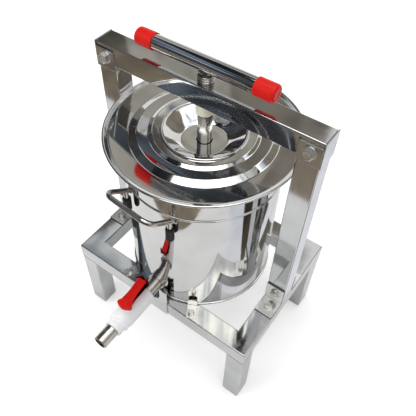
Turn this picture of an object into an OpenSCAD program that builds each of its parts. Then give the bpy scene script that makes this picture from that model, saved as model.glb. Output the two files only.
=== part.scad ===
// Honey press: a lidded steel barrel in a square-tube frame, with a screw that drives a press plate
// down into a strainer basket, and an outlet with a ball valve at the foot of the barrel.
// X runs along the beam, the outlet points along -Y and Z is up. The origin is on the floor,
// straight below the spindle. Millimetres.

/* [Frame] */
// Side of the square tube
tube = 38; // [34:1:40]
// Wall of the square tube
tube_wall = 1.5; // [1:0.1:2.5]
// Outer width of the base
base_w = 418; // [416:1:460]
// Outer depth of the base
base_d = 308; // [300:1:330]
// Height of the base, floor to rail top
base_h = 205; // [190:1:240]
// Height of the beam's top above the rail top
beam_rise = 427; // [420:1:450]
// Thickness of the socket ears and the end plates
ear_t = 2; // [1.5:0.1:3]
// Overlap of the socket ears below the beam
ear_drop = 9; // [4:1:14]
// Depth of the beam's skirt over the upright
skirt = 7; // [4:1:10]
// Slit between the skirt and the ears
ear_slit = 2; // [1:0.5:4]

/* [Brackets and clips] */
// Thickness of the foot brackets
bracket_t = 3; // [2:0.5:4]
// Length of each leg of a foot bracket
bracket_leg = 41; // [34:1:46]
// Thickness of the barrel clips
clip_t = 2; // [1.5:0.5:3]
// Width of a barrel clip
clip_w = 19; // [14:1:22]
// Height of a barrel clip
clip_h = 22; // [15:1:30]
// Angle of the clips from the spindle's X axis
clip_angle = 61; // [58:1:64]
// Thickness of the saddle plate
saddle_t = 3; // [2:0.5:4]
// Width of the saddle plate
saddle_w = 58; // [50:1:64]
// Height of the saddle plate above the outlet's axis
saddle_rise = 26; // [10:1:30]

/* [Fasteners] */
// Diameter of the frame bolts
bolt_d = 10; // [8:1:10]
// Diameter of the foot bracket bolts
foot_bolt_d = 8; // [6:1:10]
// Diameter of the clip bolts
clip_bolt_d = 6; // [4:1:6]
// Diametral clearance of a bolt hole
hole_gap = 0.6; // [0.4:0.1:1]
// Radial gap of threads and running fits
fit_gap = 0.05; // [0.03:0.01:0.08]

/* [Barrel] */
// Outer diameter of the barrel
barrel_d = 280; // [272:1:284]
// Height of the barrel
barrel_h = 325; // [310:1:330]
// Thickness of the barrel's sheet
barrel_t = 1.2; // [0.8:0.1:2]
// Radius of the rolled rim and foot
roll_r = 2.5; // [2:0.1:3]
// Depth of the stiffening bead below the barrel's rim
bead_drop = 64; // [45:1:70]
// Radius of the stiffening bead
bead_r = 1.8; // [1.5:0.1:2.5]

/* [Basket] */
// Outer diameter of the strainer basket
basket_d = 252; // [246:1:256]
// Height of the basket's wall
basket_h = 270; // [250:1:280]
// Thickness of the basket's sheet
basket_t = 1.2; // [1:0.1:1.5]
// Height of the ring that the basket stands on
basket_foot = 21; // [14:1:28]
// Diameter of the strainer holes
drain_d = 8; // [5:1:10]

/* [Lid] */
// Outer diameter of the lid
lid_d = 338; // [330:1:340]
// Thickness of the lid's sheet
lid_t = 1.2; // [0.8:0.1:1.6]
// Radius of the lid's curled edge
curl_r = 2; // [1.5:0.1:2.5]
// Radius of the dished middle at its edge
dish_r = 69; // [60:1:72]
// Depth of the dished middle below its bead
dish_depth = 26.5; // [15:0.5:28]
// Radius of the dish's flat bottom
dish_floor_r = 38; // [25:1:45]
// Radial clearance of the lid's hole round the guide tube
lid_hole_gap = 1.4; // [0.8:0.1:2]

/* [Spindle] */
// Diameter of the screw
screw_d = 20; // [18:1:20]
// Travel of the press plate
travel = 200; // [150:5:205]
// Outer diameter of the guide tube
guide_d = 25; // [24:1:27]
// Length of the guide tube below the beam
guide_l = 94; // [88:1:96]
// Outer diameter of the nylon bush
bush_d = 29; // [28:1:34]
// Length of the nylon bush
bush_l = 23; // [15:1:28]
// Outer diameter of the spindle nut
nut_d = 27; // [25:1:32]
// Height of the spindle nut above the beam
nut_rise = 12; // [8:1:16]
// Gap between the nut and the handle when the press is down
handle_gap = 4; // [2:1:10]

/* [Handle] */
// Outer diameter of the handle bar
bar_d = 25; // [22:1:28]
// Wall of the handle bar
bar_wall = 1.5; // [1:0.1:2.5]
// Length of the handle over its caps
handle_l = 250; // [220:1:280]
// Shift of the handle's middle off the spindle
handle_shift = -5; // [-10:1:10]
// Wall of the end caps
cap_wall = 1.6; // [1.2:0.1:2.5]
// Length of the end caps
cap_l = 34; // [25:1:45]

/* [Press plate] */
// Radial gap between the press plate and the basket
plate_gap = 3; // [2:0.5:5]
// Thickness of the press plate
plate_t = 3; // [2:0.5:4]
// Height of the press plate above the basket's floor when down
plate_rest = 33; // [30:1:45]
// Outer diameter of the swivel cup
cup_d = 44; // [40:1:50]
// Height of the ribs on the press plate
rib_h = 16; // [10:1:20]
// Number of ribs
ribs = 6; // [4:1:8]

/* [Grips] */
// Diameter of the grip wire
wire_d = 8; // [6:0.5:9]
// Distance between the two legs of a grip
grip_w = 98.6; // [80:0.1:110]
// Reach of a grip from the wall
grip_reach = 42.5; // [35:0.5:50]
// Rise of a grip from its roots
grip_rise = 32; // [20:1:38]
// Depth of the grip roots below the barrel's rim
grip_drop = 71.5; // [69:0.5:95]
// Turn of the pair of grips from the outlet's line
grip_turn = -4.5; // [-10:0.5:10]
// Inner radius of the bends in the grip wire
grip_bend = 14; // [8:1:18]
// Outer diameter of the rubber sleeves
sleeve_d = 15; // [13:0.5:16]
// Length of the rubber sleeves
sleeve_l = 38; // [30:1:42]
// Distance of the sleeves' axis from the wall
sleeve_off = 11; // [10:0.5:14]

/* [Outlet] */
// Height of the outlet's axis above the barrel's foot
outlet_h = 49; // [47:1:60]
// Outer diameter of the outlet pipe
pipe_d = 26.7; // [24:0.1:27]
// Mean diameter of the outlet's pipe threads, which are plain here
thread_d = 25.4; // [25:0.1:26]
// Wall of the outlet pipe
pipe_wall = 2.6; // [2:0.1:3]
// Outer diameter of the pipe's coupling
coupling_d = 31; // [30:0.5:34]
// Outer diameter of the valve body
valve_d = 41.4; // [40:0.2:46]
// Length of the valve body
valve_l = 93; // [90:1:100]
// Diameter of the valve's ball
ball_d = 30; // [28:0.5:31]
// Diameter of the way through the ball
ball_bore = 18; // [14:0.5:20]
// Length of the lever from its pivot
lever_l = 53; // [40:1:58]
// Width of the lever's grip end
lever_w = 18; // [14:1:20]
// Half width of the lever's flared head
flare_w = 15; // [12:1:17]
// Thickness of the lever
lever_t = 9; // [6:0.5:11]
// Turn of the lever from the pipe's line at rest
lever_turn = 6.5; // [0:0.5:10]
// Length of the outlet tube in front of the valve
spout_l = 33; // [25:1:50]

/* [Hidden] */
$fn = 96;
steel = "#c9c8c4";
sheet = "#d6d4ce";
zinc = "#b9b7b0";
brass = "#8f8a7c";
red = "#e01b0a";
white_pvc = "#e4e7ef";
cream = "#ebe6d7";
black_rubber = "#1c1c1e";
// A cut runs this far past the faces that it opens
eps = 1;
leg_h = base_h - tube;
beam_top = base_h + beam_rise;
beam_z = beam_top - tube;
side_x = base_w/2 - tube/2;
rail_y = base_d/2 - tube/2;
upright_top = beam_top - skirt;
inner_x = base_w/2 - tube;
ear_z = beam_z - ear_drop;
// The socket bolt crosses the upright at the middle of the ear
ear_top = upright_top - ear_slit;
socket_bolt_z = (ear_z + ear_top)/2 + 4;
bracket_bolt = bracket_leg*0.52;
washer_t = 1.6;
barrel_r = barrel_d/2;
rim_z = base_h + barrel_h;
bead_z = rim_z - bead_drop;
basket_r = basket_d/2;
basket_z = base_h + barrel_t + basket_foot;
foot_ring_r = basket_r - 16;
screw_r = screw_d/2;
// Below its thread the screw is turned down to a plain shank
shank_r = screw_r - 1.2;
thread_z = beam_z - travel;
guide_r = guide_d/2;
nut_top = beam_top + nut_rise;
bar_r = bar_d/2;
bar_z = nut_top + handle_gap + bar_r;
bar_half = handle_l/2 - cap_wall*2;
plate_r = basket_r - basket_t - plate_gap;
plate_z = basket_z + basket_t + plate_rest;
cup_z = plate_z + plate_t;
thrust_t = 3;
end_play = 0.1;
flange_t = 5;
flange_r = screw_r + 4;
cup_floor = 4;
flange_z = cup_z + cup_floor + thrust_t + end_play;
cup_top = flange_z + flange_t + end_play;
ring_t = 4;
outlet_z = base_h + outlet_h;
collar_l = 9;
coupling_l = 17;
nut_l = 13;
coupling_y = -barrel_r - collar_l;
pipe_nut_y = coupling_y - coupling_l;
valve_y = pipe_nut_y - nut_l;
pipe_r = pipe_d/2;
thread_r = thread_d/2;
bore_r = pipe_r - pipe_wall;
// The outlet tube's thread ends this far in front of the valve
thread_end = 1;
socket_l = 14;
valve_end = valve_y - valve_l;
pivot_y = valve_y - valve_l*0.54;
ball_r = ball_d/2;
seat_l = 3.5;
stem_r = 4.5;
boss_r = 10.5;
boss_top = outlet_z + valve_d/2 + 9;
lever_z = boss_top + 1;
neck_l = 17;

// A bolt with its washer, head up, the washer's underside at z 0 and the shank going down
module bolt(d, grip) {
    translate([0, 0, washer_t]) cylinder(h = d*0.65, r = d*0.98, $fn = 6);
    cylinder(h = washer_t, r = d*1.15);
    translate([0, 0, -grip]) cylinder(h = grip + eps, r = d/2);
}
// A hex nut with its washer, for the far end of a bolt, the washer's face at z 0
module nut_and_washer(d) {
    difference() {
        union() {
            translate([0, 0, -washer_t]) cylinder(h = washer_t, r = d*1.15);
            translate([0, 0, -washer_t - d*0.7]) cylinder(h = d*0.7, r = d*0.98, $fn = 6);
        }
        translate([0, 0, -washer_t - d]) cylinder(h = washer_t + d + eps, r = d/2 + fit_gap);
    }
}
// How far a bolt reaches past the far face: washer, nut and a little thread
function tail(d) = washer_t + d*0.7 + 3;

// A base rail with mitred ends, outer face on y 0, running along X with its body towards +Y
module mitred_rail(len) {
    difference() {
        linear_extrude(tube)
            polygon([[-len/2, 0], [len/2, 0], [len/2 - tube, tube], [-len/2 + tube, tube]]);
        translate([-len/2 - eps, tube_wall, tube_wall])
            cube([len + 2*eps, tube - 2*tube_wall, tube - 2*tube_wall]);
    }
}
// The bolt holes of the foot brackets and clips in a rail's top and bottom walls
module rail_hole(x, y, d, depth) {
    translate([x, y, base_h - depth]) cylinder(h = depth + eps, r = (d + hole_gap)/2);
}
module clip_holes() {
    for (sx = [-1, 1]) for (sy = [-1, 1])
        rail_hole(sx*clip_bolt_r*cos(clip_angle), sy*clip_bolt_r*sin(clip_angle), clip_bolt_d, tube_wall + eps);
}
module foot_holes() {
    for (sx = [-1, 1]) for (sy = [-1, 1])
        rail_hole(sx*side_x, sy*(tube/2 + bracket_bolt), foot_bolt_d, tube + eps);
}
module long_rail(side) {
    difference() {
        translate([0, 0, leg_h]) rotate([0, 0, side > 0 ? 180 : 0])
            translate([0, -base_d/2, 0]) mitred_rail(base_w);
        clip_holes();
    }
}
module side_rail(side) {
    difference() {
        translate([0, 0, leg_h]) rotate([0, 0, side > 0 ? 90 : -90])
            translate([0, -base_w/2, 0]) mitred_rail(base_d);
        foot_holes();
    }
}
module base_rail_front() color(steel) long_rail(-1);
module base_rail_rear() color(steel) long_rail(1);
module base_rail_left() color(steel) side_rail(-1);
module base_rail_right() color(steel) side_rail(1);

// A leg: a square tube with a welded plate under its foot
module leg(sx, sy) {
    translate([sx*side_x, sy*rail_y, 0]) difference() {
        translate([-tube/2, -tube/2, 0]) cube([tube, tube, leg_h]);
        translate([-tube/2 + tube_wall, -tube/2 + tube_wall, ear_t])
            cube([tube - 2*tube_wall, tube - 2*tube_wall, leg_h]);
    }
}
module leg_front_left() color(steel) leg(-1, -1);
module leg_front_right() color(steel) leg(1, -1);
module leg_rear_left() color(steel) leg(-1, 1);
module leg_rear_right() color(steel) leg(1, 1);

bracket_bolt_z = base_h + bracket_bolt + 6;
module upright(sx) {
    difference() {
        translate([sx*side_x, 0, base_h]) difference() {
            translate([-tube/2, -tube/2, 0]) cube([tube, tube, upright_top - base_h]);
            translate([-tube/2 + tube_wall, -tube/2 + tube_wall, -eps])
                cube([tube - 2*tube_wall, tube - 2*tube_wall, upright_top - base_h + 2*eps]);
        }
        cross_hole(sx, socket_bolt_z, bolt_d);
        cross_hole(sx, bracket_bolt_z, foot_bolt_d);
    }
}
module cross_hole(sx, z, d) {
    translate([sx*side_x, 0, z]) rotate([90, 0, 0])
        cylinder(h = 2*tube, r = (d + hole_gap)/2, center = true);
}
module upright_left() color(steel) upright(-1);
module upright_right() color(steel) upright(1);

// The beam: a square tube, cut away at both ends so that only its top and skirt reach over the uprights
module beam() color(steel) difference() {
    translate([-base_w/2, -tube/2, beam_z]) cube([base_w, tube, tube]);
    translate([-base_w/2 - eps, -tube/2 + tube_wall, beam_z + tube_wall])
        cube([base_w + 2*eps, tube - 2*tube_wall, tube - 2*tube_wall]);
    for (sx = [-1, 1])
        translate([sx*(inner_x + tube), 0, beam_z + (tube - skirt)/2 - eps/2])
            cube([2*tube, tube + 2*eps, tube - skirt + eps], center = true);
    translate([0, 0, beam_z - eps]) cylinder(h = tube + 2*eps, r = nut_d/2);
}
// A socket: an ear in front and one behind, joined by the plate that closes the beam's end
module beam_socket(sx) {
    difference() {
        union() {
            for (sy = [-1, 1])
                translate([sx*(inner_x + tube/2), sy*(tube + ear_t)/2, (ear_z + ear_top)/2])
                    cube([tube, ear_t, ear_top - ear_z], center = true);
            translate([sx*(base_w + ear_t)/2, 0, (ear_z + beam_top)/2])
                cube([ear_t, tube + 2*ear_t, beam_top - ear_z], center = true);
        }
        cross_hole(sx, socket_bolt_z, bolt_d);
    }
}
module beam_socket_left() color(steel) beam_socket(-1);
module beam_socket_right() color(steel) beam_socket(1);
module socket_bolts() color(zinc) for (sx = [-1, 1])
    translate([sx*side_x, -tube/2 - ear_t, socket_bolt_z]) rotate([90, 0, 0])
        bolt(bolt_d, tube + 2*ear_t + tail(bolt_d));
module socket_nuts() color(zinc) for (sx = [-1, 1])
    translate([sx*side_x, tube/2 + ear_t, socket_bolt_z]) rotate([90, 0, 0])
        nut_and_washer(bolt_d);

// A foot bracket: an angle with one leg on the rail and one up the face of the upright
module foot_bracket() {
    difference() {
        translate([-tube/2, 0, 0]) union() {
            cube([tube, bracket_leg, bracket_t]);
            cube([tube, bracket_t, bracket_leg + 6]);
        }
        translate([0, bracket_bolt, -eps]) cylinder(h = bracket_t + 2*eps, r = (foot_bolt_d + hole_gap)/2);
        translate([0, -eps, bracket_bolt + 6]) rotate([-90, 0, 0])
            cylinder(h = bracket_t + 2*eps, r = (foot_bolt_d + hole_gap)/2);
    }
}
module foot_brackets() color(sheet) for (sx = [-1, 1]) for (sy = [-1, 1])
    translate([sx*side_x, sy*tube/2, base_h]) rotate([0, 0, sy > 0 ? 0 : 180]) foot_bracket();
module foot_bolts() color(zinc) for (sx = [-1, 1]) {
    for (sy = [-1, 1])
        translate([sx*side_x, sy*(tube/2 + bracket_bolt), base_h + bracket_t])
            bolt(foot_bolt_d, bracket_t + tube + tail(foot_bolt_d));
    translate([sx*side_x, -tube/2 - bracket_t, bracket_bolt_z]) rotate([90, 0, 0])
        bolt(foot_bolt_d, tube + 2*bracket_t + tail(foot_bolt_d));
}
module foot_nuts() color(zinc) for (sx = [-1, 1]) {
    for (sy = [-1, 1])
        translate([sx*side_x, sy*(tube/2 + bracket_bolt), leg_h]) nut_and_washer(foot_bolt_d);
    translate([sx*side_x, tube/2 + bracket_t, bracket_bolt_z]) rotate([90, 0, 0])
        nut_and_washer(foot_bolt_d);
}

// The clips stand round the barrel's rolled foot, with a small gap to it
clip_gap = 0.5;
clip_r = barrel_r + roll_r + clip_gap;
clip_foot = 29;
clip_bolt_r = clip_r + 20;
module clip() {
    difference() {
        union() {
            translate([0, -clip_w/2, 0]) cube([clip_foot, clip_w, clip_t]);
            translate([0, -clip_w/2, 0]) cube([clip_t, clip_w, clip_h - clip_w/2]);
            translate([0, 0, clip_h - clip_w/2]) rotate([0, 90, 0]) cylinder(h = clip_t, r = clip_w/2);
        }
        translate([clip_bolt_r - clip_r, 0, -eps])
            cylinder(h = clip_t + 2*eps, r = (clip_bolt_d + hole_gap)/2);
    }
}
module at_clips() for (sx = [-1, 1]) for (sy = [-1, 1])
    translate([0, 0, base_h]) rotate([0, 0, sy*(90 - sx*(90 - clip_angle))]) children();
module barrel_clips() color(sheet) at_clips() translate([clip_r, 0, 0]) clip();
module clip_bolts() color(zinc) at_clips()
    translate([clip_bolt_r, 0, clip_t]) bolt(clip_bolt_d, clip_t + tube_wall + 6);

// The saddle plate stands on the front rail's face, its notch open at the top round the coupling
saddle_gap = 2;
module saddle_plate() color(sheet) difference() {
    translate([-saddle_w/2, -base_d/2 - saddle_t, leg_h])
        cube([saddle_w, saddle_t, outlet_z + saddle_rise - leg_h]);
    translate([0, -base_d/2 + eps, outlet_z]) rotate([90, 0, 0])
        cylinder(h = saddle_t + 2*eps, r = coupling_d/2 + saddle_gap);
    translate([-coupling_d/2 - saddle_gap, -base_d/2 - saddle_t - eps, outlet_z])
        cube([coupling_d + 2*saddle_gap, saddle_t + 2*eps, saddle_rise + eps]);
}

// Spindle and its bearings in the beam
module spindle_nut() color(steel) difference() {
    translate([0, 0, beam_z]) cylinder(h = nut_top - beam_z, r = nut_d/2);
    translate([0, 0, beam_z - eps]) cylinder(h = nut_top - beam_z + 2*eps, r = screw_r + fit_gap);
}
guide_bore = screw_r + 1;
module guide_tube() color(steel) difference() {
    translate([0, 0, beam_z - guide_l]) cylinder(h = guide_l, r = guide_r);
    translate([0, 0, beam_z - guide_l - eps]) cylinder(h = guide_l + 2*eps, r = guide_bore);
}
module guide_bush() color(cream) difference() {
    rotate_extrude() translate([0, beam_z - bush_l]) bush_outline();
    translate([0, 0, beam_z - bush_l - eps]) cylinder(h = bush_l + 2*eps, r = guide_r + fit_gap);
}
bush_edge = 2;
module bush_outline() polygon(concat([[0, 0]],
    [for (a = [-90:15:0]) [bush_d/2 - bush_edge + bush_edge*cos(a), bush_edge + bush_edge*sin(a)]],
    [[bush_d/2, bush_l], [0, bush_l]]));
// The screw, with a flange at its foot that the swivel ring holds, and its top cut to the handle bar
module spindle() color(steel) difference() {
    union() {
        translate([0, 0, thread_z]) cylinder(h = bar_z - thread_z, r = screw_r);
        translate([0, 0, flange_z]) cylinder(h = thread_z - flange_z + eps, r = shank_r);
        translate([0, 0, flange_z]) cylinder(h = flange_t, r = flange_r);
    }
    translate([0, 0, bar_z]) rotate([0, 90, 0]) cylinder(h = 4*bar_d, r = bar_r, center = true);
}
module handle_bar() color(steel) translate([handle_shift, 0, bar_z]) rotate([0, 90, 0]) difference() {
    cylinder(h = 2*bar_half, r = bar_r, center = true);
    cylinder(h = 2*bar_half + 2*eps, r = bar_r - bar_wall, center = true);
}
// An end cap: a moulded cup over the bar's end, its closed end rounded
cap_r = bar_r + cap_wall;
cap_round = 6;
module handle_cap(side) {
    translate([handle_shift, 0, bar_z]) rotate([0, side*90, 0]) difference() {
        translate([0, 0, handle_l/2 - cap_l]) rotate_extrude() polygon(concat([[0, 0], [cap_r, 0]],
            [for (a = [0:10:90]) [cap_r - cap_round + cap_round*cos(a), cap_l - cap_round + cap_round*sin(a)]],
            [[0, cap_l]]));
        cylinder(h = bar_half, r = bar_r + fit_gap);
    }
}
module handle_cap_left() color(red) handle_cap(-1);
module handle_cap_right() color(red) handle_cap(1);

// Press plate with its turned-up rim and radial ribs, all one welded piece
plate_rim = 12;
module press_plate() color(steel) difference() {
    union() {
        translate([0, 0, plate_z]) cylinder(h = plate_t, r = plate_r);
        translate([0, 0, plate_z]) difference() {
            cylinder(h = plate_rim, r = plate_r);
            translate([0, 0, -eps]) cylinder(h = plate_rim + 2*eps, r = plate_r - 2);
        }
        for (i = [0:ribs - 1]) rotate([0, 0, i*360/ribs])
            translate([0, plate_t/2, cup_z]) rotate([90, 0, 0]) linear_extrude(plate_t)
                polygon([[cup_d/2 - 2, 0], [plate_r - 1.5, 0], [plate_r - 1.5, plate_rim/2], [cup_d/2 - 2, rib_h]]);
    }
    for (i = [0:ribs - 1]) for (j = [0:2])
        rotate([0, 0, (i + 0.5)*360/ribs]) translate([cup_d/2 + 20 + j*26, 0, plate_z - eps])
            cylinder(h = plate_t + 2*eps, r = drain_d/2);
    translate([0, 0, cup_z]) cylinder(h = rib_h + eps, r = cup_d/2);
}
swivel_screw_r = 1.5;
module at_swivel_screws() for (i = [0:2]) rotate([0, 0, i*120 + 30])
    translate([(cup_d/2 + flange_r)/2, 0, 0]) children();
module swivel_cup() color(steel) difference() {
    translate([0, 0, cup_z]) cylinder(h = cup_top - cup_z, r = cup_d/2);
    translate([0, 0, cup_z + cup_floor]) cylinder(h = cup_top - cup_z, r = flange_r + fit_gap);
    at_swivel_screws() translate([0, 0, cup_top - 7]) cylinder(h = 8, r = swivel_screw_r + fit_gap);
}
module thrust_disc() color(brass)
    translate([0, 0, cup_z + cup_floor]) cylinder(h = thrust_t, r = flange_r - 0.2);
module swivel_ring() color(steel) difference() {
    translate([0, 0, cup_top]) cylinder(h = ring_t, r = cup_d/2);
    translate([0, 0, cup_top - eps]) cylinder(h = ring_t + 2*eps, r = shank_r + fit_gap);
    at_swivel_screws() translate([0, 0, cup_top - eps]) cylinder(h = ring_t + 2*eps, r = swivel_screw_r + fit_gap);
}
module swivel_screws() color(zinc) at_swivel_screws() {
    translate([0, 0, cup_top - 6]) cylinder(h = ring_t + 6 + eps, r = swivel_screw_r);
    translate([0, 0, cup_top + ring_t]) cylinder(h = 2.5, r = swivel_screw_r*1.8);
}

// Vessel
module ring(r, z, bead) translate([0, 0, z]) rotate_extrude() translate([r, 0]) circle(r = bead, $fn = 32);
module barrel() color(sheet) difference() {
    union() {
        translate([0, 0, base_h]) difference() {
            cylinder(h = barrel_h - roll_r, r = barrel_r);
            translate([0, 0, barrel_t]) cylinder(h = barrel_h, r = barrel_r - barrel_t);
        }
        ring(barrel_r, bead_z, bead_r);
        ring(barrel_r, base_h + roll_r, roll_r);
        ring(barrel_r, rim_z - roll_r, roll_r);
    }
    translate([0, 0, base_h + barrel_t])
        cylinder(h = bead_z - base_h + bead_r + roll_r, r = barrel_r - barrel_t);
    translate([0, -barrel_r + 10, outlet_z]) rotate([90, 0, 0]) cylinder(h = 20, r = thread_r);
}
drain_rows = 8;
drain_cols = 20;
module strainer_basket() color(steel) difference() {
    union() {
        translate([0, 0, basket_z]) difference() {
            cylinder(h = basket_h, r = basket_r);
            translate([0, 0, basket_t]) cylinder(h = basket_h, r = basket_r - basket_t);
        }
        ring(basket_r, basket_z + basket_h - roll_r, roll_r);
        translate([0, 0, base_h + barrel_t]) difference() {
            cylinder(h = basket_foot + basket_t/2, r = foot_ring_r);
            translate([0, 0, -eps]) cylinder(h = basket_foot + 2*eps, r = foot_ring_r - basket_t);
        }
    }
    for (row = [0:drain_rows - 1]) for (col = [0:drain_cols - 1])
        translate([0, 0, basket_z + 25 + row*(basket_h - 50)/(drain_rows - 1)])
            rotate([0, 0, (col + (row % 2)/2)*360/drain_cols]) translate([basket_r - drain_d, 0, 0])
                rotate([0, 90, 0]) cylinder(h = 2*drain_d, r = drain_d/2, $fn = 24);
    for (k = [1:3]) for (i = [0:6*k - 1]) rotate([0, 0, i*60/k])
        translate([k*(foot_ring_r - 12)/3, 0, basket_z - eps])
            cylinder(h = basket_t + 2*eps, r = drain_d/2, $fn = 24);
    for (i = [0:3]) rotate([0, 0, 45 + i*90]) translate([foot_ring_r - 8, 0, base_h])
        rotate([0, 90, 0]) cylinder(h = 16, r = basket_foot*0.6);
}

// The lid's upper surface from the hole to the edge, as radius and height above the barrel's rim
lid_hole = guide_r + lid_hole_gap;
lid_r = lid_d/2;
crown = 12;
dish_curve = 1.6;
function lid_profile() = let (floor = crown - dish_depth - 2.5) concat(
    [[lid_hole, floor]],
    [for (u = [0:0.1:1]) [dish_floor_r + (dish_r - dish_floor_r)*u, floor + dish_depth*pow(u, dish_curve)]],
    [for (a = [150:-30:30]) [dish_r + 2.6 + 2.2*cos(a), crown - 1.9 + 1.6*sin(a)]],
    [[dish_r + 6, crown - 2], [dish_r + 17, crown], [dish_r + 19.5, crown - 0.5],
     [dish_r + 23.5, crown - 6.5], [dish_r + 26, crown - 7], [dish_r + 40, crown - 4.8],
     [dish_r + 44, crown - 5.4], [dish_r + 59, crown - 9.8], [barrel_r - 8, crown - 10.4],
     [barrel_r + 2, lid_t], [barrel_r + 15, lid_t - 2.6], [lid_r - 12, lid_t - 3.2],
     [lid_r - 9, lid_t - 2.4], [lid_r - curl_r, lid_t + 3.4]]);
module lid() color(sheet) translate([0, 0, rim_z]) {
    rotate_extrude() polygon(concat(lid_profile(),
        [for (i = [len(lid_profile()) - 1:-1:0]) lid_profile()[i] - [0, lid_t]]));
    ring(lid_r - curl_r, lid_t + 3.4 - lid_t/2, curl_r);
}

// A grip: one bent wire in a sloping plane, its two legs welded to the wall, and a short stub under
// each leg that carries a rubber sleeve
grip_slope = atan2(grip_rise, grip_reach);
leg_root = sqrt(pow(barrel_r, 2) - pow(grip_w/2, 2));
grip_len = norm([grip_reach, grip_rise]);
wire_r = wire_d/2;
bend_r = grip_bend + wire_r;
root_z = rim_z - grip_drop;
sleeve_x = leg_root + sleeve_off;
stub_z = root_z + sleeve_off*tan(grip_slope);
sleeve_top = root_z - 10;
module grip() difference() {
    union() {
        translate([leg_root, 0, root_z]) rotate([0, -grip_slope, 0]) {
            for (s = [-1, 1]) {
                translate([-wire_d, s*grip_w/2, 0]) rotate([0, 90, 0])
                    cylinder(h = grip_len - bend_r + wire_d, r = wire_r);
                translate([grip_len - bend_r, s*(grip_w/2 - bend_r), 0]) rotate([0, 0, s > 0 ? 0 : -90])
                    rotate_extrude(angle = 90) translate([bend_r, 0]) circle(r = wire_r, $fn = 32);
            }
            translate([grip_len, 0, 0]) rotate([90, 0, 0])
                cylinder(h = grip_w - 2*bend_r, r = wire_r, center = true);
        }
        for (s = [-1, 1]) translate([sleeve_x, s*grip_w/2, sleeve_top - sleeve_l + 5])
            cylinder(h = stub_z - sleeve_top + sleeve_l - 5, r = wire_r);
    }
    translate([0, 0, base_h]) cylinder(h = barrel_h, r = barrel_r);
}
module turn_grips(side) rotate([0, 0, side*90 + grip_turn]) children();
module grip_front() color(steel) turn_grips(-1) grip();
module grip_rear() color(steel) turn_grips(1) grip();
// A ribbed rubber sleeve with a round closed end
sleeve_ribs = 7;
rib_deep = 0.8;
function sleeve_side(r, l) = [for (i = [0:sleeve_ribs*4])
    [r - rib_deep*(i % 4 < 2 ? 0 : 1), r + (l - r)*i/(sleeve_ribs*4)]];
module sleeve() difference() {
    rotate_extrude() polygon(concat(
        [for (a = [-90:15:-15]) [sleeve_d/2*cos(a), sleeve_d/2 + sleeve_d/2*sin(a)]],
        sleeve_side(sleeve_d/2, sleeve_l), [[0, sleeve_l]]));
    translate([0, 0, 5 - eps/2]) cylinder(h = sleeve_l, r = wire_r + fit_gap);
}
module grip_sleeves() color(black_rubber) for (side = [-1, 1]) turn_grips(side)
    for (s = [-1, 1]) translate([sleeve_x, s*grip_w/2, sleeve_top - sleeve_l]) sleeve();

// Outlet, drawn along +Z from the barrel's axis and laid along -Y at the outlet's height
module along_outlet() translate([0, 0, outlet_z]) rotate([90, 0, 0]) children();
module tube_along(y0, y1, r, bore) translate([0, 0, -y0]) difference() {
    cylinder(h = y0 - y1, r = r);
    translate([0, 0, -eps]) cylinder(h = y0 - y1 + 2*eps, r = bore);
}
pipe_start = -barrel_r + 6;
pipe_end = valve_y - socket_l;
collar_r = coupling_d/2 + 1.5;
module outlet_pipe() color(steel) along_outlet() difference() {
    union() {
        translate([0, 0, -pipe_start]) cylinder(h = pipe_start - pipe_end, r = thread_r);
        translate([0, 0, barrel_r - 6]) cylinder(h = collar_l + 6, r = collar_r);
    }
    translate([0, 0, -pipe_start - eps])
        cylinder(h = pipe_start - pipe_end + 2*eps, r = bore_r);
    rotate([-90, 0, 0]) difference() {
        translate([0, 0, -2*coupling_d]) cylinder(h = 4*coupling_d, r = barrel_r);
        rotate([90, 0, 0]) cylinder(h = 2*barrel_r, r = thread_r);
    }
}
module pipe_coupling() color(steel) along_outlet()
    tube_along(coupling_y, pipe_nut_y, coupling_d/2, thread_r + fit_gap);
module pipe_nut() color(steel) along_outlet() translate([0, 0, -pipe_nut_y]) difference() {
    cylinder(h = nut_l, r = coupling_d/2 + 3, $fn = 6);
    translate([0, 0, -eps]) cylinder(h = nut_l + 2*eps, r = thread_r + fit_gap);
}
// The valve body: a barrel-shaped moulding with a stem boss on top and a narrower neck
function valve_outline() = [[0, 0], [valve_d/2 - 1.5, 0], [valve_d/2, 1.5], [valve_d/2, valve_l - neck_l - 9],
    [valve_d/2 - 1.2, valve_l - neck_l - 7.5], [valve_d/2 - 2.2, valve_l - neck_l - 7.5],
    [valve_d/2 - 2.2, valve_l - neck_l - 1], [valve_d/2 - 3.4, valve_l - neck_l],
    [pipe_r + 3, valve_l - neck_l], [pipe_r + 2.4, valve_l], [0, valve_l]];
seat_y = pivot_y + ball_r + seat_l;
module valve_body() color(white_pvc) difference() {
    union() {
        along_outlet() translate([0, 0, -valve_y]) rotate_extrude() polygon(valve_outline());
        translate([0, pivot_y, outlet_z]) cylinder(h = boss_top - outlet_z, r = boss_r);
    }
    along_outlet() {
        translate([0, 0, -valve_y - eps]) cylinder(h = valve_l + 2*eps, r = ball_bore/2);
        translate([0, 0, -valve_y - eps]) cylinder(h = socket_l + eps, r = thread_r + fit_gap);
        translate([0, 0, -valve_end - socket_l]) cylinder(h = socket_l + eps, r = thread_r + fit_gap);
        translate([0, 0, -pivot_y - ball_r]) cylinder(h = 2*ball_r, r = ball_r + 0.4);
    }
    translate([0, pivot_y, outlet_z]) cylinder(h = boss_top, r = stem_r + fit_gap);
}
module valve_ball() color(steel) translate([0, pivot_y, outlet_z]) rotate([0, 0, lever_turn]) difference() {
    sphere(r = ball_r);
    rotate([90, 0, 0]) cylinder(h = 2*ball_d, r = ball_bore/2, center = true);
    translate([0, 0, ball_r]) cube([3.2, ball_d, 8], center = true);
}
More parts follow.
